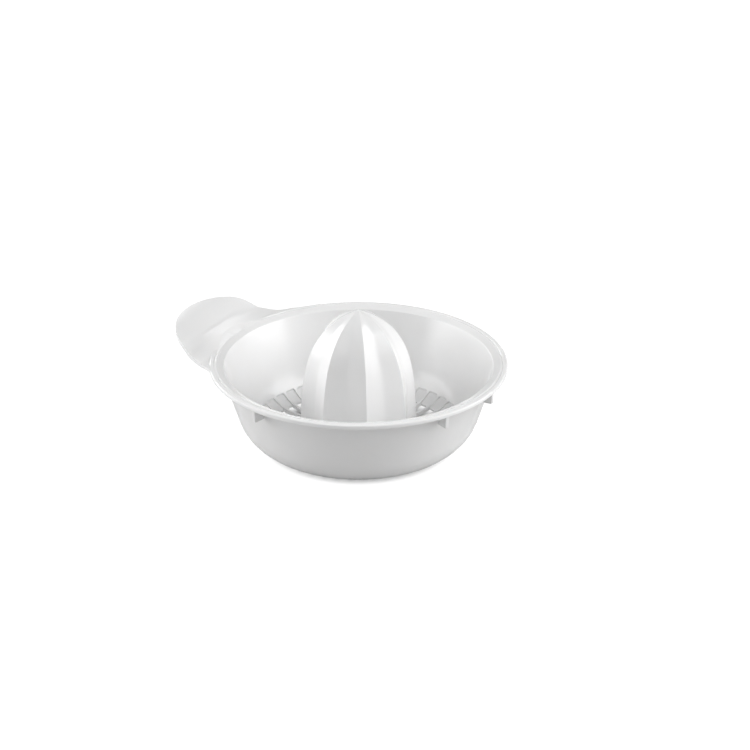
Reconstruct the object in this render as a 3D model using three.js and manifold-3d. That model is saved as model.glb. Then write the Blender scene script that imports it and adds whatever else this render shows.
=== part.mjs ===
// Citrus press attachment: a round strainer dish with a thumb handle, and a fluted
// reamer cone that turns on a drive spindle in the middle of the dish.
// Millimetres, +Z up. The origin is on the bowl's axis, in the plane the dish stands on.
// The handle points along -X.
import * as THREE from "three";
import { mergeVertices } from "three/addons/utils/BufferGeometryUtils.js";
import Module from "manifold-3d";

const wasm = await Module();
wasm.setup();

// Bowl
const RIM_RADIUS = 85;
const RIM_HEIGHT = 50;
const RIM_WIDTH = 6.5;
const RIM_THICKNESS = 2.3;
const BOWL_BASE_RADIUS = 64;
const BOWL_WALL = 1.8;
const BASE_ROUNDING = 25;
const FLOOR_THICKNESS = 2.4;
const FLOOR_FLAT_RADIUS = 46;
const FLOOR_CREASE_HEIGHT = 8.2;

// Rim section, from the outer bead inwards
const BEAD_WIDTH = 2.8;
const GROOVE_DEPTH = 0.5;
const GROOVE_WIDTH = 1.6;
const INNER_STEP_DEPTH = 1.8;
const EDGE_ROUNDING = 0.8;

// Strainer slots
const SLOT_COUNT = 44;
const SLOT_WIDTH = 1.8;
const SLOT_START = 2.2;
const SLOT_LENGTH = 24;

// Locating lugs under the rim, as angles from the side opposite the handle
const LUG_ANGLES = [-106, -28, 0, 28, 106];
const LUG_THICKNESS = 2.2;
const LUG_HEIGHT = 7.5;
const LUG_SETBACK = 1.5;

// Thumb handle: a broad lobe that runs out of the rim, nearly flat as far as a crease and
// turned up from there to its tip. Each corner of its plan is a reach past the rim, a
// half width and a rounding.
const HANDLE_ROOT = { reach: -27, halfWidth: 62 };
const HANDLE_NECK = { reach: -14.6, halfWidth: 47.8, rounding: 38 };
const HANDLE_SHOULDER = { reach: 14.9, halfWidth: 34.5, rounding: 24 };
const HANDLE_PEAK = { reach: 41.8, halfWidth: 0, rounding: 47.6 };
const HANDLE_REACH = 29.5;
const HANDLE_FLAT = 5;
const HANDLE_CREASE = 9.5;
const HANDLE_CREASE_RISE = 3;
const HANDLE_TIP_RISE = 11;
const HANDLE_CURL = 1.5;
const HANDLE_OVERLAP = 2;

// Drive well and bearing tube in the middle of the floor
const WELL_RADIUS = 16;
const WELL_DEPTH = 12;
const TUBE_WALL = 2;
const TUBE_HEIGHT = 30;

// Drive spindle
const SPINDLE_RADIUS = 6;
const BEARING_CLEARANCE = 0.35;
const COLLAR_RADIUS = 9;
const COLLAR_THICKNESS = 2;
const HEAD_FLATS = 10;
const HEAD_LENGTH = 20;
const STUB_FLATS = 9.5;
const STUB_LENGTH = 8;

// Snap ring that keeps the spindle in the bearing tube
const CLIP_THICKNESS = 1;
const CLIP_WIDTH = 3;
const CLIP_GAP_DEGREES = 60;
const GROOVE_CUT = 1.2;

// Reamer cone
const CONE_RADIUS = 33.8;
const CONE_HEIGHT = 77.5;
const CONE_FLOOR_GAP = 0.8;
const CONE_SHOULDER = 0.53;
const CONE_BROW = 0.874;
const CONE_FULLNESS = 0.89;
const CONE_RIDGES = 8;
const CONE_TURN = -10;
const FLUTE_DEPTH = 4;
const CONE_WALL = 1.8;
const CROWN_THICKNESS = 5;
const SOCKET_RADIUS = 8.5;
const SOCKET_CLEARANCE = 0.3;
const SOCKET_CORE_RADIUS = 4;
const SOCKET_CORE_HEIGHT = 14;

// Clearance that touching pieces keep, and the overlap of joined shapes
const GAP = 0.3;
const JOIN = 0.5;

// Smoothness
const BOWL_SIDES = 72;
const SMALL_SIDES = 32;
const CORNER_STEPS = 6;
const CURVE_STEPS = 9;
const SIDES_PER_FLUTE = 6;
const CONE_STEPS = 12;

// Heights and radii that follow from the sizes above
const degrees = THREE.MathUtils.degToRad;
const rimUnderside = RIM_HEIGHT - RIM_THICKNESS;
const slotInnerRadius = CONE_RADIUS + SLOT_START;
const slotOuterRadius = slotInnerRadius + SLOT_LENGTH;
const boreRadius = SPINDLE_RADIUS + BEARING_CLEARANCE;
const wellRoof = WELL_DEPTH + TUBE_WALL;
const collarBase = TUBE_HEIGHT + GAP;
const headBase = collarBase + COLLAR_THICKNESS;
const headTop = headBase + HEAD_LENGTH;
const clipTop = WELL_DEPTH - GAP;
const coneBase = FLOOR_THICKNESS + CONE_FLOOR_GAP;
const coneTop = coneBase + CONE_HEIGHT;
const socketBase = headBase + GAP;

// Radius of the bowl's outer wall at a height: it leans from the base to the rim.
const wallTopRadius = RIM_RADIUS - RIM_WIDTH;
const wallLean = Math.atan2(wallTopRadius - BOWL_BASE_RADIUS, rimUnderside);
function outerWall(z) {
  return BOWL_BASE_RADIUS + z * Math.tan(wallLean);
}
function innerWall(z) {
  return outerWall(z) - BOWL_WALL / Math.cos(wallLean);
}

function point(x, y) {
  return new THREE.Vector2(x, y);
}

// Points of the arc of a radius that rounds the corner between two straight edges.
function roundedCorner(before, corner, after, radius, steps = CORNER_STEPS) {
  const inward = before.clone().sub(corner).normalize();
  const outward = after.clone().sub(corner).normalize();
  const halfAngle = Math.acos(inward.dot(outward)) / 2;
  const reach = radius / Math.tan(halfAngle);
  const bisector = inward.clone().add(outward).normalize();
  const centre = corner.clone().addScaledVector(bisector, radius / Math.sin(halfAngle));
  const start = corner.clone().addScaledVector(inward, reach).sub(centre);
  const end = corner.clone().addScaledVector(outward, reach).sub(centre);
  const turn = Math.atan2(start.cross(end), start.dot(end));
  const points = [];
  for (let step = 0; step <= steps; step += 1) {
    const angle = start.angle() + (turn * step) / steps;
    points.push(point(centre.x + radius * Math.cos(angle), centre.y + radius * Math.sin(angle)));
  }
  return points;
}

// A closed manifold solid from a three.js geometry.
function solid(geometry) {
  geometry.deleteAttribute("normal");
  geometry.deleteAttribute("uv");
  const merged = mergeVertices(geometry);
  const corners = merged.index.array;
  const triangles = [];
  for (let i = 0; i < corners.length; i += 3) {
    const [a, b, c] = [corners[i], corners[i + 1], corners[i + 2]];
    if (a !== b && b !== c && c !== a) {
      triangles.push(a, b, c);
    }
  }
  return new wasm.Manifold(
    new wasm.Mesh({
      numProp: 3,
      vertProperties: new Float32Array(merged.attributes.position.array),
      triVerts: new Uint32Array(triangles),
    }),
  );
}

// A solid of revolution about Z, from the points (radius, height) of its section,
// counter-clockwise: up on the outside.
function revolved(section, sides) {
  return solid(new THREE.LatheGeometry(section, sides).rotateX(Math.PI / 2));
}

function closed(section) {
  return [...section, section[0].clone()];
}

// An upright disc or round bar.
function bar(radius, bottom, top) {
  const section = [point(0, bottom), point(radius, bottom), point(radius, top), point(0, top)];
  return revolved(section, SMALL_SIDES);
}

// A flat outline in XY, made solid between two heights.
function upright(shape, bottom, top) {
  const extrusion = new THREE.ExtrudeGeometry(shape, { depth: top - bottom, bevelEnabled: false });
  return solid(extrusion.translate(0, 0, bottom));
}

// A box that points outwards from the axis, between two radii and two heights.
function radialBar(degreesRound, thickness, from, to, bottom, top) {
  const box = new THREE.BoxGeometry(to - from, thickness, top - bottom);
  box.translate((from + to) / 2, 0, (bottom + top) / 2);
  return solid(box.rotateZ(degrees(degreesRound)));
}

// A six-sided bar on the axis, with a corner on +X.
function hexagonBar(acrossFlats, bottom, top) {
  const radius = acrossFlats / 2 / Math.cos(degrees(30));
  const corners = [];
  for (let corner = 0; corner < 6; corner += 1) {
    const angle = degrees(60 * corner);
    corners.push(point(radius * Math.cos(angle), radius * Math.sin(angle)));
  }
  return upright(new THREE.Shape(corners), bottom, top);
}

// ---- Strainer dish ----

function bowlSection() {
  const foot = point(WELL_RADIUS, 0);
  const baseCorner = point(BOWL_BASE_RADIUS, 0);
  const underRim = point(wallTopRadius, rimUnderside);
  const grooveRadius = RIM_RADIUS - BEAD_WIDTH;
  const stepHeight = RIM_HEIGHT - INNER_STEP_DEPTH;
  const stepEdge = point(innerWall(stepHeight), stepHeight);
  const floorCorner = point(innerWall(FLOOR_THICKNESS), FLOOR_THICKNESS);
  const wellEdge = point(WELL_RADIUS + TUBE_WALL, FLOOR_THICKNESS);
  const tubeRadius = boreRadius + TUBE_WALL;
  const insideRounding = BASE_ROUNDING - BOWL_WALL;
  const wholeCurve = roundedCorner(stepEdge, floorCorner, wellEdge, insideRounding, CURVE_STEPS);
  const insideCurve = wholeCurve.filter((place) => place.y > FLOOR_CREASE_HEIGHT);
  return [
    foot,
    ...roundedCorner(foot, baseCorner, underRim, BASE_ROUNDING),
    underRim,
    point(RIM_RADIUS, rimUnderside),
    point(RIM_RADIUS, RIM_HEIGHT - EDGE_ROUNDING),
    point(RIM_RADIUS - EDGE_ROUNDING, RIM_HEIGHT),
    point(grooveRadius + EDGE_ROUNDING, RIM_HEIGHT),
    point(grooveRadius, RIM_HEIGHT - GROOVE_DEPTH),
    point(grooveRadius - GROOVE_WIDTH, RIM_HEIGHT),
    stepEdge,
    ...insideCurve,
    point(FLOOR_FLAT_RADIUS, FLOOR_THICKNESS),
    wellEdge,
    point(wellEdge.x, wellRoof),
    point(tubeRadius, wellRoof),
    point(tubeRadius, TUBE_HEIGHT),
    point(boreRadius, TUBE_HEIGHT),
    point(boreRadius, WELL_DEPTH),
    point(WELL_RADIUS, WELL_DEPTH),
  ];
}

// Plan outline of the handle, pointing +X, with its root inside the bowl.
function handlePlan() {
  const corner = (place, side) => point(RIM_RADIUS + place.reach, side * place.halfWidth);
  const right = [HANDLE_ROOT, HANDLE_NECK, HANDLE_SHOULDER, HANDLE_PEAK];
  const left = [HANDLE_SHOULDER, HANDLE_NECK, HANDLE_ROOT];
  const places = [...right, ...left];
  const corners = [
    ...right.map((place) => corner(place, -1)),
    ...left.map((place) => corner(place, 1)),
  ];
  const outline = [corners[0]];
  for (let i = 1; i < corners.length - 1; i += 1) {
    const rounding = places[i].rounding;
    outline.push(...roundedCorner(corners[i - 1], corners[i], corners[i + 1], rounding));
  }
  outline.push(corners[corners.length - 1]);
  return new THREE.Shape(outline);
}

// Side view of the handle, pointing +X, with its height in Y: level with the rim, a gentle
// rise to the crease, and a steeper one to the tip.
function handleSide() {
  const root = point(RIM_RADIUS - HANDLE_FLAT, RIM_HEIGHT);
  const crease = point(RIM_RADIUS + HANDLE_CREASE, RIM_HEIGHT + HANDLE_CREASE_RISE);
  const tip = point(RIM_RADIUS + HANDLE_REACH, RIM_HEIGHT + HANDLE_TIP_RISE);
  const curl = crease.clone().add(tip).divideScalar(2);
  curl.y += HANDLE_CURL;
  const outline = new THREE.Shape();
  outline.moveTo(0, root.y);
  outline.lineTo(0, root.y - RIM_THICKNESS);
  outline.lineTo(root.x, root.y - RIM_THICKNESS);
  outline.lineTo(crease.x, crease.y - RIM_THICKNESS);
  outline.quadraticCurveTo(curl.x, curl.y - RIM_THICKNESS, tip.x, tip.y - RIM_THICKNESS);
  outline.lineTo(tip.x, tip.y);
  outline.quadraticCurveTo(curl.x, curl.y, crease.x, crease.y);
  outline.lineTo(root.x, root.y);
  return outline;
}

function handle() {
  const flat = upright(handlePlan(), 0, RIM_HEIGHT + HANDLE_TIP_RISE + JOIN);
  const width = 2 * (HANDLE_ROOT.halfWidth + JOIN);
  const sweep = new THREE.ExtrudeGeometry(handleSide(), { depth: width, bevelEnabled: false });
  sweep.translate(0, 0, -width / 2);
  const mouth = [
    point(0, -JOIN),
    point(RIM_RADIUS - HANDLE_OVERLAP, -JOIN),
    point(RIM_RADIUS - HANDLE_OVERLAP, 2 * RIM_HEIGHT),
    point(0, 2 * RIM_HEIGHT),
  ];
  const plate = flat.intersect(solid(sweep.rotateX(Math.PI / 2)));
  return plate.subtract(revolved(mouth, BOWL_SIDES)).rotate([0, 0, 180]);
}

// The lugs stand under the rim and end inside the bowl's wall.
function lugs() {
  const bottom = rimUnderside - LUG_HEIGHT;
  const top = rimUnderside + JOIN;
  const tip = RIM_RADIUS - LUG_SETBACK;
  const root = innerWall(bottom);
  const halfWall = BOWL_WALL / 2;
  const hollow = revolved(
    [
      point(0, bottom - JOIN),
      point(innerWall(bottom - JOIN) + halfWall, bottom - JOIN),
      point(innerWall(top + JOIN) + halfWall, top + JOIN),
      point(0, top + JOIN),
    ],
    BOWL_SIDES,
  );
  const bars = LUG_ANGLES.map((angle) => radialBar(angle, LUG_THICKNESS, root, tip, bottom, top));
  return bars.reduce((joined, bar) => joined.add(bar)).subtract(hollow);
}

function slots() {
  const top = BASE_ROUNDING / 2;
  const cuts = [];
  for (let slot = 0; slot < SLOT_COUNT; slot += 1) {
    const angle = (360 * slot) / SLOT_COUNT;
    cuts.push(radialBar(angle, SLOT_WIDTH, slotInnerRadius, slotOuterRadius, -JOIN, top));
  }
  return cuts.reduce((joined, cut) => joined.add(cut));
}

function strainerDish() {
  return revolved(closed(bowlSection()), BOWL_SIDES).add(handle()).add(lugs()).subtract(slots());
}

// ---- Drive spindle and its snap ring ----

function driveSpindle() {
  const neck = SPINDLE_RADIUS - GROOVE_CUT;
  const grooveBottom = clipTop - CLIP_THICKNESS - GAP;
  const grooveTop = clipTop + GAP;
  const shaft = revolved(
    [
      point(0, STUB_LENGTH),
      point(SPINDLE_RADIUS, STUB_LENGTH),
      point(SPINDLE_RADIUS, grooveBottom),
      point(neck, grooveBottom),
      point(neck, grooveTop),
      point(SPINDLE_RADIUS, grooveTop),
      point(SPINDLE_RADIUS, collarBase),
      point(COLLAR_RADIUS, collarBase),
      point(COLLAR_RADIUS, headBase),
      point(0, headBase),
    ],
    SMALL_SIDES,
  );
  const stub = hexagonBar(STUB_FLATS, 0, STUB_LENGTH + JOIN);
  const head = hexagonBar(HEAD_FLATS, headBase - JOIN, headTop);
  return shaft.add(stub).add(head);
}

function retainingClip() {
  const inner = SPINDLE_RADIUS - GROOVE_CUT + GAP;
  const halfGap = degrees(CLIP_GAP_DEGREES / 2);
  const outline = new THREE.Shape();
  outline.absarc(0, 0, inner + CLIP_WIDTH, halfGap, -halfGap, false);
  outline.absarc(0, 0, inner, -halfGap, halfGap, true);
  return upright(outline, clipTop - CLIP_THICKNESS, clipTop);
}

// ---- Reamer cone ----

// Half section of an ogive from its base to its tip.
function ogive(radius, bottom, top) {
  const height = top - bottom;
  const curve = new THREE.CubicBezierCurve(
    point(radius, bottom),
    point(radius, bottom + height * CONE_SHOULDER),
    point(radius * CONE_FULLNESS, bottom + height * CONE_BROW),
    point(0, top),
  );
  return [point(0, bottom), ...curve.getPoints(CONE_STEPS)];
}

// Draws the surface in between the ridges, to a share of its radius that is deepest
// half way from one ridge to the next.
function cutFlutes(geometry) {
  const places = geometry.attributes.position;
  const halfPitch = Math.PI / CONE_RIDGES;
  for (let i = 0; i < places.count; i += 1) {
    const angle = Math.atan2(places.getY(i), places.getX(i)) + 2 * Math.PI;
    const fromRidge = angle % (2 * halfPitch);
    const share = Math.min(fromRidge, 2 * halfPitch - fromRidge) / halfPitch;
    const scale = 1 - (FLUTE_DEPTH / CONE_RADIUS) * (1 - (1 - share) ** 2);
    places.setX(i, places.getX(i) * scale);
    places.setY(i, places.getY(i) * scale);
  }
  return geometry;
}

function reamerCone() {
  const sides = CONE_RIDGES * SIDES_PER_FLUTE;
  const body = new THREE.LatheGeometry(ogive(CONE_RADIUS, coneBase, coneTop), sides);
  const outside = solid(cutFlutes(body.rotateX(Math.PI / 2)).rotateZ(degrees(CONE_TURN)));
  const hollowRadius = CONE_RADIUS - FLUTE_DEPTH - CONE_WALL;
  const hollowTop = coneTop - CROWN_THICKNESS;
  const hollow = revolved(ogive(hollowRadius, coneBase - JOIN, hollowTop), SMALL_SIDES);
  const post = bar(SOCKET_RADIUS, socketBase, hollowTop).intersect(outside);
  const socketTop = headTop + GAP;
  const socket = hexagonBar(HEAD_FLATS + 2 * SOCKET_CLEARANCE, socketBase - JOIN, socketTop);
  const core = bar(SOCKET_CORE_RADIUS, headTop, socketTop + SOCKET_CORE_HEIGHT);
  return outside.subtract(hollow).add(post).subtract(socket).subtract(core);
}

// ---- Assembly ----

const whitePlastic = { color: 0xf1f1ef, roughness: 0.18, metalness: 0 };
const spindlePlastic = { color: 0xd9d9d4, roughness: 0.35, metalness: 0 };
const springSteel = { color: 0xb4b6b8, roughness: 0.3, metalness: 1 };

function part(name, shape, look) {
  const { vertProperties, triVerts } = shape.getMesh();
  const geometry = new THREE.BufferGeometry();
  geometry.setAttribute("position", new THREE.BufferAttribute(vertProperties, 3));
  geometry.setIndex(new THREE.BufferAttribute(triVerts, 1));
  geometry.computeVertexNormals();
  const mesh = new THREE.Mesh(geometry, new THREE.MeshStandardMaterial(look));
  mesh.name = name;
  return mesh;
}

const press = new THREE.Group();
press.add(part("strainer_dish", strainerDish(), whitePlastic));
press.add(part("reamer_cone", reamerCone(), whitePlastic));
press.add(part("drive_spindle", driveSpindle(), spindlePlastic));
press.add(part("retaining_clip", retainingClip(), springSteel));

export default press;
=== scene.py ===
"""Citrus press attachment: a strainer dish with a thumb handle, and a fluted reamer cone
that turns on a drive spindle. Metres, +Z up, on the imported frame: the origin is on the
bowl's axis in the plane the dish stands on, and the handle points along -X."""

import math

import bpy
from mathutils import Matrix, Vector


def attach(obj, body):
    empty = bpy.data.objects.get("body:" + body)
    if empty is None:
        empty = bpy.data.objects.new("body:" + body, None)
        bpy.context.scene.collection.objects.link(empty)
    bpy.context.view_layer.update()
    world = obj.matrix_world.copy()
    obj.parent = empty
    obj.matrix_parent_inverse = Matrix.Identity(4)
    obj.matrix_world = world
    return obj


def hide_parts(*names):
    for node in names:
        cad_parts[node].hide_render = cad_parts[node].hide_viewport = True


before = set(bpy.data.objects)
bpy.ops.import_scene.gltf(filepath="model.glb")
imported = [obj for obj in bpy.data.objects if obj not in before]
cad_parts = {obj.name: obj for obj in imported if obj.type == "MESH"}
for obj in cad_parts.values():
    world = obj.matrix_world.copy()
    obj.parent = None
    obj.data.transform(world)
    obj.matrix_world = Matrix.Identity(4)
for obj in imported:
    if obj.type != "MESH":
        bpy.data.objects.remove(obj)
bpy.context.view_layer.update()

# A millimetre in metres, and the distance in metres within which points are merged
MM = 0.001
TINY = 1e-7

# From here to the materials, sizes are in millimetres and angles in degrees.
# How far joined pieces reach into each other, and how far a cutter reaches past its work
OVERLAP = 0.5
MARGIN = 1

# Bowl
RIM_RADIUS = 85
RIM_TOP = 50
RIM_THICKNESS = 2.3
BASE_RADIUS = 64
WALL_TOP_RADIUS = 78.5
WALL = 1.8
BASE_ROUNDING = 25
FLOOR = 2.4

# Rim section, from the bead inwards to the step
BEAD_WIDTH = 2.3
GROOVE_DEPTH = 0.55
GROOVE_RADIUS = 82.2
RIDGE_RADIUS = 81.2
STEP_RADIUS = 76.9
STEP_DEPTH = 1.7

# Well, bearing tube and bore
WELL_RADIUS = 16
WELL_DEPTH = 12
TUBE_WALL = 2
TUBE_HEIGHT = 30
BORE_RADIUS = 6.35

# Straight ribs of the strainer, and the slots between them. A slot goes right through as far
# as SLOT_THROUGH, and beyond it leaves a skin under itself
RIB_COUNT = 44
RIB_WIDTH = 1.6
SLOT_INNER = 36
SLOT_THROUGH = 54
SLOT_OUTER = 61.7
SLOT_SKIN = 1.3
SLOT_ROUNDING = 1.2

# Locating lugs under the rim, as angles from the side opposite the handle
LUG_ANGLES = (-106, -28, 0, 28, 106)
LUG_THICKNESS = 2.2
LUG_HEIGHT = 7.5
LUG_SETBACK = 1.5
LUG_ROOT = 1
LUG_TAPER = 0.4
LUG_EDGE = 0.25

# Thumb handle: its plan as corners (distance from the axis, half width, rounding), then its
# side view, with the crease's place outside the rim and the rises above it
HANDLE_ROOT = (58, 62, 0)
HANDLE_NECK = (70.4, 47.8, 38)
HANDLE_SHOULDER = (99.9, 34.5, 24)
HANDLE_PEAK = (126.8, 0, 47.6)
HANDLE_TIP_RADIUS = 114
CREASE_REACH = 9.6
CREASE_RISE = 2.8
BAND_SLOPE = 8
TIP_RISE = 10.6
TIP_CURL = 0.9
BAND_LEAD = 4
HANDLE_START = RIM_RADIUS - 30
HANDLE_SINK = 0.05

# How far the handle's edges hang near the rim and rise near the tip, at which half width,
# and over which distances from the axis each sets in
EDGE_DROOP = 1.3
EDGE_RISE = 1.5
EDGE_WIDTH = 36
EDGE_LIMIT = 42
EDGE_DROOP_SPAN = (70, 80)
EDGE_RISE_SPAN = (88, 96)

# The cutter that clears the bowl's mouth of the handle's root
STEP_SLOPE = 18
MOUTH_RADIUS = RIM_RADIUS - 5
MOUTH_REACH = 30
MOUTH_SINK = 0.03

# Reamer cone. Its outline is a curve pulled towards two points, the shoulder and the brow.
# Their heights are parts of the cone's height, and the fullness is the brow's part of its radius
CONE_RADIUS = 33.8
CONE_BASE = 3.2
CONE_TOP = 80.7
CONE_SHOULDER = 0.53
CONE_BROW = 0.874
CONE_FULLNESS = 0.89
CONE_RIDGES = 8
CONE_TURN = -10
FLUTE_DEPTH = 4
FLUTE_POWER = 1.7
HOLLOW_GAP = 5.8
CROWN = 5
POST_RADIUS = 8.5
POST_BASE = 32.6
SOCKET_FLATS = 10.6
SOCKET_TOP = 52.6
CORE_RADIUS = 4
CORE_TOP = 66.6

# Drive spindle and its snap ring, whose gap is an angle
SPINDLE_RADIUS = 6
SPINDLE_EDGE = 0.3
COLLAR_RADIUS = 9
COLLAR_BASE = 30.3
HEAD_BASE = 32.3
HEAD_TOP = 52.3
HEAD_FLATS = 10
STUB_FLATS = 9.5
STUB_TOP = 8
NECK_CUT = 1.2
CLIP_TOP = 11.7
CLIP_THICKNESS = 1
CLIP_INNER = 5.1
CLIP_WIDTH = 3
CLIP_GAP = 60
CLIP_PLAY = 0.3
CLIP_EDGE = 0.12

# How finely the shapes are divided, and the angles in degrees that count as sharp
TURNED_SIDES = 240
SMALL_SIDES = 96
ARC_STEPS = 8
SLOT_ARC_STEPS = 4
HANDLE_ARC_STEPS = 20
BAND_STEPS = 10
TURN_UP_STEPS = 12
SIDE_STRIPS = 48
SIDES_PER_FLUTE = 24
CONE_LEVELS = 40
HOLLOW_LEVELS = 20
CLIP_ARC_STEPS = 48
BEVEL_SEGMENTS = 2
BEVEL_ANGLE = 30
SMOOTH_ANGLE = 28


# ---- Working by hand: picking, drawing, turning and joining ----


def put_down_everything():
    """Leaves edit mode and lets go of every object."""
    if bpy.context.object and bpy.context.object.mode != "OBJECT":
        bpy.ops.object.mode_set(mode="OBJECT")
    bpy.ops.object.select_all(action="DESELECT")


def take(piece):
    """Makes a piece the only one in hand."""
    put_down_everything()
    piece.select_set(True)
    bpy.context.view_layer.objects.active = piece


def edit(piece):
    """Takes a piece into edit mode with all of it picked."""
    take(piece)
    bpy.ops.object.mode_set(mode="EDIT")
    bpy.ops.mesh.select_all(action="SELECT")


def leave():
    bpy.ops.object.mode_set(mode="OBJECT")


def named(name):
    """Names the piece in hand."""
    piece = bpy.context.object
    piece.name = name
    piece.data.name = name
    return piece


def close_seams(piece):
    """Merges doubled points and turns every face outwards."""
    edit(piece)
    bpy.ops.mesh.remove_doubles(threshold=TINY)
    bpy.ops.mesh.normals_make_consistent(inside=False)
    leave()
    return piece


def draw(name, points):
    """A wire drawn through points in millimetres, pulled from one corner to the next."""
    put_down_everything()
    bpy.ops.mesh.primitive_plane_add(size=MM)
    wire = named(name)
    edit(wire)
    bpy.ops.mesh.merge(type="CENTER")
    bpy.ops.transform.translate(value=Vector(points[0]) * MM)
    for start, end in zip(points, points[1:]):
        step = (Vector(end) - Vector(start)) * MM
        bpy.ops.mesh.extrude_vertices_move(TRANSFORM_OT_translate={"value": step})
    leave()
    return wire


def draw_closed(name, points):
    """A wire with its two ends joined, left in edit mode with all of it picked."""
    wire = draw(name, list(points) + [points[0]])
    edit(wire)
    bpy.ops.mesh.remove_doubles(threshold=TINY)
    bpy.ops.mesh.select_all(action="SELECT")
    return wire


def turned(name, outline, sides=TURNED_SIDES):
    """A piece of revolution about the axis, from its closed outline (radius, height)."""
    piece = draw_closed(name, [(radius, 0, height) for radius, height in outline])
    bpy.ops.mesh.spin(steps=sides, angle=math.tau, center=(0, 0, 0), axis=(0, 0, 1))
    leave()
    return close_seams(piece)


def pulled(name, outline, along):
    """A plate: a closed outline of points, filled and pulled along a line (x, y, z)."""
    piece = draw_closed(name, outline)
    bpy.ops.mesh.edge_face_add()
    bpy.ops.mesh.extrude_region_move(TRANSFORM_OT_translate={"value": Vector(along) * MM})
    leave()
    return close_seams(piece)


def finish_with(piece, kind, **settings):
    """Adds a modifier and applies it."""
    take(piece)
    modifier = piece.modifiers.new(kind.title(), kind)
    for setting, value in settings.items():
        setattr(modifier, setting, value)
    bpy.ops.object.modifier_apply(modifier=modifier.name)
    return piece


def combine(piece, tool, operation):
    """Joins a tool to a piece, cuts it away, or keeps what they share. The tool is used up."""
    finish_with(piece, "BOOLEAN", object=tool, operation=operation, solver="EXACT")
    bpy.data.objects.remove(tool)
    return piece


def add(piece, tool):
    return combine(piece, tool, "UNION")


def cut(piece, tool):
    return combine(piece, tool, "DIFFERENCE")


def share(piece, tool):
    return combine(piece, tool, "INTERSECT")


def turn_about_axis(piece, degrees):
    """Turns a piece anticlockwise as seen from above."""
    edit(piece)
    bpy.ops.transform.rotate(
        value=-math.radians(degrees), orient_axis="Z", center_override=(0, 0, 0)
    )
    leave()
    return piece


def copies_round(piece, count):
    """Repeats a piece about the axis, in the same mesh."""
    edit(piece)
    bpy.ops.mesh.spin(
        steps=count, angle=math.tau, dupli=True, center=(0, 0, 0), axis=(0, 0, 1)
    )
    bpy.ops.mesh.select_all(action="SELECT")
    bpy.ops.mesh.remove_doubles(threshold=TINY)
    leave()
    return piece


def bevel(piece, width):
    """Rounds the sharp edges."""
    return finish_with(
        piece,
        "BEVEL",
        width=width * MM,
        segments=BEVEL_SEGMENTS,
        limit_method="ANGLE",
        angle_limit=math.radians(BEVEL_ANGLE),
        use_clamp_overlap=True,
    )


def shade(piece):
    """Shades a piece smooth between its sharp edges."""
    take(piece)
    bpy.ops.object.shade_smooth_by_angle(angle=math.radians(SMOOTH_ANGLE))
    return piece


# ---- Outlines ----


def arc(centre, radius, start, end, steps=ARC_STEPS):
    """Points along an arc, with angles in degrees."""
    points = []
    for step in range(steps + 1):
        angle = math.radians(start + (end - start) * step / steps)
        x = centre[0] + radius * math.cos(angle)
        y = centre[1] + radius * math.sin(angle)
        points.append((x, y))
    return points


def rounded(corners, steps=ARC_STEPS):
    """A closed outline's points, with each corner (x, y, radius) turned into an arc."""
    points = []
    for index, (x, y, radius) in enumerate(corners):
        if radius == 0:
            points.append((x, y))
            continue
        corner = Vector((x, y))
        before = (Vector(corners[index - 1][:2]) - corner).normalized()
        after = (Vector(corners[(index + 1) % len(corners)][:2]) - corner).normalized()
        half = before.angle(after) / 2
        reach = radius / math.tan(half)
        middle = corner + (before + after).normalized() * radius / math.sin(half)
        start = corner + before * reach - middle
        end = corner + after * reach - middle
        first = math.degrees(math.atan2(start.y, start.x))
        turn = math.degrees(math.atan2(end.y, end.x)) - first
        turn = (turn + 180) % 360 - 180
        points.extend(arc(middle, radius, first, first + turn, steps))
    return points


def ogive(radius, bottom, top, steps=CONE_LEVELS):
    """Points (radius, height) of the cone's outline, from its foot to its tip."""
    height = top - bottom
    foot = Vector((radius, bottom))
    shoulder = Vector((radius, bottom + height * CONE_SHOULDER))
    brow = Vector((radius * CONE_FULLNESS, bottom + height * CONE_BROW))
    tip = Vector((0, top))
    points = []
    for step in range(steps + 1):
        t = step / steps
        place = (
            foot * (1 - t) ** 3
            + shoulder * 3 * t * (1 - t) ** 2
            + brow * 3 * t**2 * (1 - t)
            + tip * t**3
        )
        points.append((place.x, place.y))
    return points


# ---- Strainer dish ----

rim_underside = RIM_TOP - RIM_THICKNESS
wall_lean = math.atan2(WALL_TOP_RADIUS - BASE_RADIUS, rim_underside)


def outer_wall(height):
    return BASE_RADIUS + height * math.tan(wall_lean)


def inner_wall(height):
    return outer_wall(height) - WALL / math.cos(wall_lean)


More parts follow.
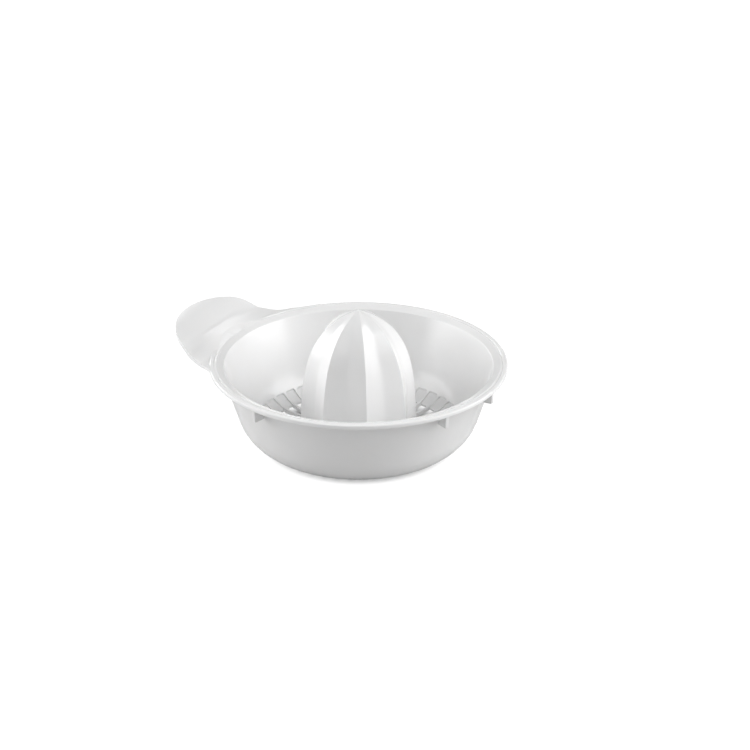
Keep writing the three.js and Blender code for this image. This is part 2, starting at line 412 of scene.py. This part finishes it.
def bowl():
    """The bowl with its rim, drive well and bearing tube. Each corner of its section is
    (radius, height, rounding)."""
    step_height = RIM_TOP - STEP_DEPTH
    tube_radius = BORE_RADIUS + TUBE_WALL
    roof = WELL_DEPTH + TUBE_WALL
    outline = rounded(
        [
            (WELL_RADIUS, 0, 0.4),
            (BASE_RADIUS, 0, BASE_ROUNDING),
            (WALL_TOP_RADIUS, rim_underside, 0.7),
            (RIM_RADIUS, rim_underside, 0.35),
            (RIM_RADIUS, RIM_TOP, 0.9),
            (RIM_RADIUS - BEAD_WIDTH, RIM_TOP, 0.5),
            (GROOVE_RADIUS, RIM_TOP - GROOVE_DEPTH, 0.25),
            (RIDGE_RADIUS, RIM_TOP, 0.35),
            (STEP_RADIUS, step_height, 0.8),
            (inner_wall(FLOOR), FLOOR, BASE_ROUNDING - WALL),
            (WELL_RADIUS + TUBE_WALL, FLOOR, 0.8),
            (WELL_RADIUS + TUBE_WALL, roof, 0.8),
            (tube_radius, roof, 0.8),
            (tube_radius, TUBE_HEIGHT, 0.4),
            (BORE_RADIUS, TUBE_HEIGHT, 0.3),
            (BORE_RADIUS, WELL_DEPTH, 0.3),
            (WELL_RADIUS, WELL_DEPTH, 0.5),
        ]
    )
    return turned("dish_shell", outline)


def handle_plan():
    """Plan of the handle, pointing +X, with its root inside the bowl."""
    right = [HANDLE_ROOT, HANDLE_NECK, HANDLE_SHOULDER]
    corners = [(x, -y, radius) for x, y, radius in right]
    corners.append(HANDLE_PEAK)
    corners.extend(reversed(right))
    return rounded(corners, HANDLE_ARC_STEPS)


def handle_side():
    """Side view of the handle, pointing +X: a nearly flat band, a crease, a turned-up end."""
    crease_x = RIM_RADIUS + CREASE_REACH
    crease_z = RIM_TOP + CREASE_RISE
    root_z = RIM_TOP - HANDLE_SINK
    band_x = crease_x - (crease_z - root_z) / math.tan(math.radians(BAND_SLOPE))
    tip_x = HANDLE_TIP_RADIUS + MARGIN
    tip_z = RIM_TOP + TIP_RISE
    top = [(HANDLE_START, root_z), (band_x - BAND_LEAD, root_z)]
    for step in range(BAND_STEPS):
        t = step / BAND_STEPS
        top.append((band_x + (crease_x - band_x) * t, root_z + (crease_z - root_z) * t))
    for step in range(TURN_UP_STEPS + 1):
        t = step / TURN_UP_STEPS
        curl = 4 * TIP_CURL * t * (1 - t)
        top.append((crease_x + (tip_x - crease_x) * t, crease_z + (tip_z - crease_z) * t + curl))
    under = [(x, z - RIM_THICKNESS) for x, z in reversed(top)]
    return top + under


def ease(value, span):
    """0 before a span, 1 after it, and a smooth change in between."""
    t = min(max((value - span[0]) / (span[1] - span[0]), 0), 1)
    return t * t * (3 - 2 * t)


def edge_lift(x, y):
    """How far the handle's edges hang below its middle near the rim, and rise above it
    near the tip."""
    droop = EDGE_DROOP * ease(x, EDGE_DROOP_SPAN)
    rise = (EDGE_RISE + EDGE_DROOP) * ease(x, EDGE_RISE_SPAN)
    return (rise - droop) * (min(abs(y), EDGE_LIMIT) / EDGE_WIDTH) ** 2


def side_plate(half_width):
    """The side view pulled across in strips, with its edges hanging and rising."""
    piece = draw_closed("side_plate", [(x, -half_width, z) for x, z in handle_side()])
    bpy.ops.mesh.edge_face_add()
    strip = (0, 2 * half_width / SIDE_STRIPS * MM, 0)
    for _ in range(SIDE_STRIPS):
        bpy.ops.mesh.extrude_region_move(TRANSFORM_OT_translate={"value": strip})
    leave()
    for vertex in piece.data.vertices:
        vertex.co.z += edge_lift(vertex.co.x / MM, vertex.co.y / MM) * MM
    return close_seams(piece)


def handle():
    """The plan and the side view pulled through each other, with the bowl's mouth cut out
    along the slope of the rim's inner step."""
    half_width = HANDLE_ROOT[1] + MARGIN
    plan = [(x, y, 0) for x, y in handle_plan()]
    piece = pulled("handle", plan, (0, 0, 2 * RIM_TOP))
    share(piece, side_plate(half_width))
    slope = math.tan(math.radians(STEP_SLOPE))
    foot = RIM_TOP + (MOUTH_RADIUS - RIDGE_RADIUS) * slope - MOUTH_SINK
    far = RIDGE_RADIUS + MOUTH_REACH
    outline = [
        (0, 0),
        (MOUTH_RADIUS, 0),
        (MOUTH_RADIUS, foot),
        (far, RIM_TOP + MOUTH_REACH * slope - MOUTH_SINK),
        (far, 2 * RIM_TOP),
        (0, 2 * RIM_TOP),
    ]
    cut(piece, turned("mouth_cutter", outline))
    turn_about_axis(piece, 180)
    return piece


def lug(angle):
    """An upright plate between the bowl's wall and the underside of the rim."""
    bottom = rim_underside - LUG_HEIGHT
    top = rim_underside + OVERLAP
    tip = RIM_RADIUS - LUG_SETBACK
    side = -LUG_THICKNESS / 2
    outline = [
        (outer_wall(bottom) - LUG_ROOT, side, bottom),
        (tip - LUG_TAPER, side, bottom),
        (tip, side, top),
        (outer_wall(rim_underside) - LUG_ROOT, side, top),
    ]
    piece = bevel(pulled("lug", outline, (0, LUG_THICKNESS, 0)), LUG_EDGE)
    return turn_about_axis(piece, angle)


def underside(radius):
    """Height of the bowl's underside, where the flat base curves up into the wall."""
    flat = BASE_RADIUS - BASE_ROUNDING / math.tan((math.pi / 2 + wall_lean) / 2)
    return BASE_ROUNDING - math.sqrt(BASE_ROUNDING**2 - max(radius - flat, 0) ** 2)


def slots():
    """All the slots' cutters: each is as wide as the ribs on its two sides leave it, goes
    right through the flat floor, and runs out as a hollow in the curve of the wall."""
    half_pitch = math.pi / RIB_COUNT
    inner = SLOT_INNER * math.tan(half_pitch) - RIB_WIDTH / 2
    outer = SLOT_OUTER * math.tan(half_pitch) - RIB_WIDTH / 2
    corners = [
        (SLOT_INNER, -inner, SLOT_ROUNDING),
        (SLOT_OUTER, -outer, SLOT_ROUNDING),
        (SLOT_OUTER, outer, SLOT_ROUNDING),
        (SLOT_INNER, inner, SLOT_ROUNDING),
    ]
    outline = [(x, y, -MARGIN) for x, y in rounded(corners, SLOT_ARC_STEPS)]
    piece = pulled("slot_cutter", outline, (0, 0, BASE_ROUNDING / 2))
    turn_about_axis(piece, 180 / RIB_COUNT)
    copies_round(piece, RIB_COUNT)
    first = SLOT_INNER - MARGIN
    last = SLOT_OUTER + MARGIN
    reach = [
        (first, -2 * MARGIN),
        (SLOT_THROUGH, -2 * MARGIN),
        (SLOT_THROUGH, underside(SLOT_THROUGH) + SLOT_SKIN),
        (last, underside(last) + SLOT_SKIN),
        (last, BASE_ROUNDING),
        (first, BASE_ROUNDING),
    ]
    return share(piece, turned("slot_reach", reach))


def make_dish():
    """The one moulding: bowl and strainer, handle and lugs."""
    piece = bowl()
    cut(piece, slots())
    add(piece, handle())
    for angle in LUG_ANGLES:
        add(piece, lug(angle))
    return shade(piece)


# ---- Reamer cone ----


def star(radius):
    """The cone's section: ridges with hollow flutes between them, nearly flat on their two
    sides and rounded in the valley."""
    points = []
    half = math.pi / CONE_RIDGES
    depth = FLUTE_DEPTH / CONE_RADIUS
    for index in range(CONE_RIDGES * SIDES_PER_FLUTE):
        angle = index * 2 * half / SIDES_PER_FLUTE
        from_ridge = min(angle % (2 * half), 2 * half - angle % (2 * half)) / half
        scale = 1 - depth * (1 - (1 - from_ridge) ** FLUTE_POWER)
        points.append((radius * scale * math.cos(angle), radius * scale * math.sin(angle)))
    return points


def cone_skin():
    """The fluted outside, pulled up level by level and drawn in towards the tip."""
    levels = ogive(CONE_RADIUS, CONE_BASE, CONE_TOP)
    piece = draw("reamer", [(x, y, CONE_BASE) for x, y in star(CONE_RADIUS)])
    edit(piece)
    bpy.ops.mesh.edge_face_add()
    for (radius, height), (next_radius, next_height) in zip(levels, levels[1:]):
        rise = (0, 0, (next_height - height) * MM)
        bpy.ops.mesh.extrude_region_move(TRANSFORM_OT_translate={"value": rise})
        shrink = next_radius / radius
        bpy.ops.transform.resize(
            value=(shrink, shrink, 1), center_override=(0, 0, next_height * MM)
        )
    leave()
    return turn_about_axis(close_seams(piece), CONE_TURN)


def hexagon(flats, bottom, top):
    """An upright six-sided bar, from its width across the flats."""
    corner = flats / 2 / math.cos(math.radians(30))
    outline = [(x, y, bottom) for x, y in arc((0, 0), corner, 0, 300, 5)]
    return pulled("hexagon", outline, (0, 0, top - bottom))


def round_bar(radius, bottom, top):
    return turned("bar", [(0, bottom), (radius, bottom), (radius, top), (0, top)], SMALL_SIDES)


def make_cone():
    """The fluted skin, hollowed out round a post that holds the spindle's socket."""
    piece = cone_skin()
    below = CONE_BASE - OVERLAP
    inside = ogive(CONE_RADIUS - HOLLOW_GAP, below, CONE_TOP - CROWN, HOLLOW_LEVELS)
    hollow = turned("hollow", [(0, below)] + inside, SMALL_SIDES)
    cut(hollow, round_bar(POST_RADIUS, POST_BASE, CONE_TOP))
    cut(piece, hollow)
    cut(piece, hexagon(SOCKET_FLATS, POST_BASE - OVERLAP, SOCKET_TOP))
    cut(piece, round_bar(CORE_RADIUS, SOCKET_TOP - OVERLAP, CORE_TOP))
    return shade(piece)


# ---- Drive spindle and its snap ring ----


def make_spindle():
    """A shaft with a collar and a groove, a six-sided head and a six-sided drive stub."""
    neck = SPINDLE_RADIUS - NECK_CUT
    groove_base = CLIP_TOP - CLIP_THICKNESS - CLIP_PLAY
    groove_top = CLIP_TOP + CLIP_PLAY
    outline = [
        (0, STUB_TOP),
        (SPINDLE_RADIUS, STUB_TOP),
        (SPINDLE_RADIUS, groove_base),
        (neck, groove_base),
        (neck, groove_top),
        (SPINDLE_RADIUS, groove_top),
        (SPINDLE_RADIUS, COLLAR_BASE),
        (COLLAR_RADIUS, COLLAR_BASE),
        (COLLAR_RADIUS, HEAD_BASE),
        (0, HEAD_BASE),
    ]
    piece = turned("spindle", outline, SMALL_SIDES)
    add(piece, hexagon(STUB_FLATS, 0, STUB_TOP + OVERLAP))
    add(piece, hexagon(HEAD_FLATS, HEAD_BASE - OVERLAP, HEAD_TOP))
    return shade(bevel(piece, SPINDLE_EDGE))


def make_clip():
    """A flat open ring that sits in the spindle's groove."""
    half = CLIP_GAP / 2
    outline = arc((0, 0), CLIP_INNER + CLIP_WIDTH, half, 360 - half, CLIP_ARC_STEPS)
    outline += arc((0, 0), CLIP_INNER, 360 - half, half, CLIP_ARC_STEPS)
    bottom = CLIP_TOP - CLIP_THICKNESS
    plate = [(x, y, bottom) for x, y in outline]
    piece = pulled("snap_ring", plate, (0, 0, CLIP_THICKNESS))
    return shade(bevel(piece, CLIP_EDGE))


# ---- Materials ----


class Value:
    """A shader socket that does sums: each + or * on a value adds a Math node."""

    def __init__(self, graph, socket):
        self.graph = graph
        self.socket = socket

    def math(self, operation, other):
        inputs = {0: self, 1: other}
        return self.graph.node("ShaderNodeMath", {"operation": operation}, inputs)

    def __add__(self, other):
        return self.math("ADD", other)

    def __mul__(self, other):
        return self.math("MULTIPLY", other)


class Graph:
    """The nodes of one material."""

    def __init__(self, name):
        self.material = bpy.data.materials.new(name)
        self.material.use_nodes = True
        self.tree = self.material.node_tree
        self.tree.nodes.clear()

    def node(self, kind, settings=None, inputs=None, output=0):
        """Adds a node with its settings and inputs, and gives back one of its outputs."""
        made = self.tree.nodes.new(kind)
        for setting, value in (settings or {}).items():
            setattr(made, setting, value)
        for name, value in (inputs or {}).items():
            if isinstance(value, Value):
                self.tree.links.new(value.socket, made.inputs[name])
            else:
                made.inputs[name].default_value = value
        return Value(self, made.outputs[output]) if made.outputs else None

    def noise(self, place, scale, detail):
        inputs = {"Vector": place, "Scale": scale, "Detail": detail}
        return self.node("ShaderNodeTexNoise", None, inputs, "Fac")

    def place(self):
        """Where a point is on its piece, in metres."""
        return self.node("ShaderNodeTexCoord", None, None, "Object")

    def blend(self, amount, first, second):
        """A colour between two."""
        inputs = {0: amount, 6: first, 7: second}
        settings = {"data_type": "RGBA"}
        return self.node("ShaderNodeMix", settings, inputs, 2)

    def bump(self, height, distance):
        inputs = {"Height": height, "Distance": distance}
        return self.node("ShaderNodeBump", None, inputs, "Normal")

    def shader(self, **inputs):
        """The finished surface. Names are the shader's own sockets, with _ for a space."""
        sockets = {name.replace("_", " "): value for name, value in inputs.items()}
        surface = self.node("ShaderNodeBsdfPrincipled", None, sockets)
        self.node("ShaderNodeOutputMaterial", None, {"Surface": surface})
        return self.material


def moulded_white(name, tint):
    """Glossy injection-moulded plastic, with a faint mottle and the ripple of the mould."""
    graph = Graph(name)
    place = graph.place()
    clouds = graph.noise(place, 18, 3)
    polish = graph.noise(place, 160, 2)
    ripple = graph.noise(place, 90, 1)
    paler = tuple(min(1, part * 1.01) for part in tint) + (1,)
    deeper = tuple(part * 0.985 for part in tint) + (1,)
    return graph.shader(
        Base_Color=graph.blend(clouds, paler, deeper),
        Roughness=polish * 0.08 + 0.16,
        Normal=graph.bump(ripple, 0.00004),
        IOR=1.49,
        Subsurface_Weight=0.12,
        Subsurface_Radius=(1.0, 0.95, 0.9),
        Subsurface_Scale=0.002,
    )


def bearing_plastic():
    """Satin natural acetal, with fine turning marks."""
    graph = Graph("bearing_plastic")
    place = graph.place()
    clouds = graph.noise(place, 60, 3)
    grain = graph.noise(place, 900, 2)
    return graph.shader(
        Base_Color=graph.blend(clouds, (0.72, 0.72, 0.69, 1), (0.66, 0.66, 0.63, 1)),
        Roughness=grain * 0.12 + 0.34,
        Normal=graph.bump(grain, 0.00002),
        IOR=1.48,
    )


def spring_steel():
    """Stamped steel with a rolled grain."""
    graph = Graph("spring_steel")
    place = graph.place()
    stretch = graph.node("ShaderNodeMapping", None, {"Vector": place, "Scale": (1, 14, 1)})
    grain = graph.noise(stretch, 700, 3)
    return graph.shader(
        Base_Color=graph.blend(grain, (0.56, 0.57, 0.58, 1), (0.46, 0.47, 0.49, 1)),
        Roughness=grain * 0.16 + 0.24,
        Normal=graph.bump(grain, 0.000008),
        Metallic=1.0,
    )


def dress(piece, material, body, node):
    """Gives a finished piece its material and its body, and hides the CAD node it stands in for.
    """
    piece.data.materials.clear()
    piece.data.materials.append(material)
    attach(piece, body)
    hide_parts(node)


# ---- Camera, table top and lights, with sizes and distances in metres ----

AIM = Vector((0, 0, RIM_TOP * MM))
AZIMUTH = 27
ELEVATION = 24.63
DISTANCE = 1.0
LENS = 84
SENSOR = 36
SHIFT = (0.022, -0.0211)
NEAREST = 0.01

TABLE_RADIUS = 6
TABLE_SIDES = 64
TABLE_GAP = 0.0003
TABLE_GREY = (0.62, 0.62, 0.62, 1)
WHITE = (1, 1, 1, 1)
WHITE_GLOW = 1.1
# Painted contact shadow: within the first radius the table drops its white glow and shows its
# own grey, shaded surface, and by the second radius the glow is back in full
SHADOW_DISC_RADIUS = 0.048
SHADOW_FADE_RADIUS = 0.06

LIGHT_DISTANCE = 1.5
LOW_BOX = (1.22, 0.72)
HIGH_BOX = (0.95, 0.8)
STRIP_BOX = (0.32, 0.14)
ROOM_LIGHT = 0.08


def direction(azimuth, elevation):
    """From the object towards a camera or light. Azimuth 0 is on the -Y side."""
    a = math.radians(azimuth)
    e = math.radians(elevation)
    return Vector((math.sin(a) * math.cos(e), -math.cos(a) * math.cos(e), math.sin(e)))


def stand(name, data, azimuth, elevation, distance):
    """Puts a camera or light where it belongs, facing the object."""
    towards = direction(azimuth, elevation)
    made = bpy.data.objects.new(name, data)
    bpy.context.scene.collection.objects.link(made)
    made.location = AIM + towards * distance
    made.rotation_mode = "QUATERNION"
    made.rotation_quaternion = (-towards).to_track_quat("-Z", "Y")
    return made


def make_camera():
    data = bpy.data.cameras.new("camera")
    data.lens = LENS
    data.sensor_width = SENSOR
    data.shift_x, data.shift_y = SHIFT
    data.clip_start = NEAREST
    bpy.context.scene.camera = stand("camera", data, AZIMUTH, ELEVATION, DISTANCE)


def make_floor():
    """A white table top under and far past the object. Past the dish's foot it shows as
    plain white; under the dish it shows its own shaded surface through the slots. Round the
    foot the white fades into that shaded grey: a darker disc that is a painted contact shadow."""
    put_down_everything()
    bpy.ops.mesh.primitive_circle_add(
        vertices=TABLE_SIDES, radius=TABLE_RADIUS, fill_type="NGON"
    )
    floor = named("floor")
    floor.location.z = -TABLE_GAP
    graph = Graph("table_white")
    light_path = graph.node("ShaderNodeLightPath", None, None, "Is Camera Ray")
    length = {"operation": "LENGTH"}
    from_axis = graph.node("ShaderNodeVectorMath", length, {0: graph.place()}, "Value")
    # Painted contact shadow: towards the dish's foot the white glow fades out, leaving a darker
    # disc of shaded grey table round and under the dish
    ease_out = {"interpolation_type": "SMOOTHSTEP"}
    span = {"From Min": SHADOW_DISC_RADIUS, "From Max": SHADOW_FADE_RADIUS}
    past_shadow_disc = graph.node("ShaderNodeMapRange", ease_out, {"Value": from_axis, **span})
    share_of_white = light_path * past_shadow_disc
    matt = graph.node("ShaderNodeBsdfDiffuse", None, {"Color": TABLE_GREY})
    glow = {"Color": WHITE, "Strength": WHITE_GLOW}
    bright = graph.node("ShaderNodeEmission", None, glow)
    surface = graph.node("ShaderNodeMixShader", None, {0: share_of_white, 1: matt, 2: bright})
    graph.node("ShaderNodeOutputMaterial", None, {"Surface": surface})
    floor.data.materials.append(graph.material)


def make_light(name, azimuth, elevation, size, watts):
    """A soft box that faces the object. Its azimuth is counted from the camera."""
    data = bpy.data.lights.new(name, "AREA")
    data.shape = "RECTANGLE"
    data.size, data.size_y = size
    data.energy = watts
    stand(name, data, AZIMUTH + azimuth, elevation, LIGHT_DISTANCE)


def make_lights():
    """Soft boxes round the object: strong from the sides, weak from the camera."""
    make_light("left_low", -90, 13, LOW_BOX, 11.5)
    make_light("back_left_low", -135, 13, LOW_BOX, 10.5)
    make_light("left_high", -90, 42, HIGH_BOX, 5.6)
    make_light("front_high", 0, 42, HIGH_BOX, 2.4)
    make_light("right_low", 90, 13, LOW_BOX, 9.0)
    make_light("front_right_high", 45, 42, HIGH_BOX, 4.6)
    make_light("right_high", 90, 42, HIGH_BOX, 11.0)
    make_light("back_strip", 181, 31, STRIP_BOX, 0.45)


def make_room():
    """Walls that look white and give only a little light."""
    world = bpy.data.worlds.new("room")
    bpy.context.scene.world = world
    world.use_nodes = True
    tree = world.node_tree
    background = tree.nodes["Background"]
    background.inputs["Color"].default_value = WHITE
    light_path = tree.nodes.new("ShaderNodeLightPath")
    strength = tree.nodes.new("ShaderNodeMapRange")
    strength.inputs["To Min"].default_value = ROOM_LIGHT
    tree.links.new(light_path.outputs["Is Camera Ray"], strength.inputs["Value"])
    tree.links.new(strength.outputs["Result"], background.inputs["Strength"])


dish = make_dish()
cone = make_cone()
spindle = make_spindle()
clip = make_clip()

dish_white = moulded_white("white_shell", (0.86, 0.86, 0.86))
cone_white = moulded_white("white_cone", (0.87, 0.87, 0.87))
dress(dish, dish_white, "dish", "strainer_dish")
dress(cone, cone_white, "cone", "reamer_cone")
dress(spindle, bearing_plastic(), "spindle", "drive_spindle")
dress(clip, spring_steel(), "spindle", "retaining_clip")

make_camera()
make_floor()
make_lights()
make_room()
bpy.context.scene.view_settings.view_transform = "Standard"
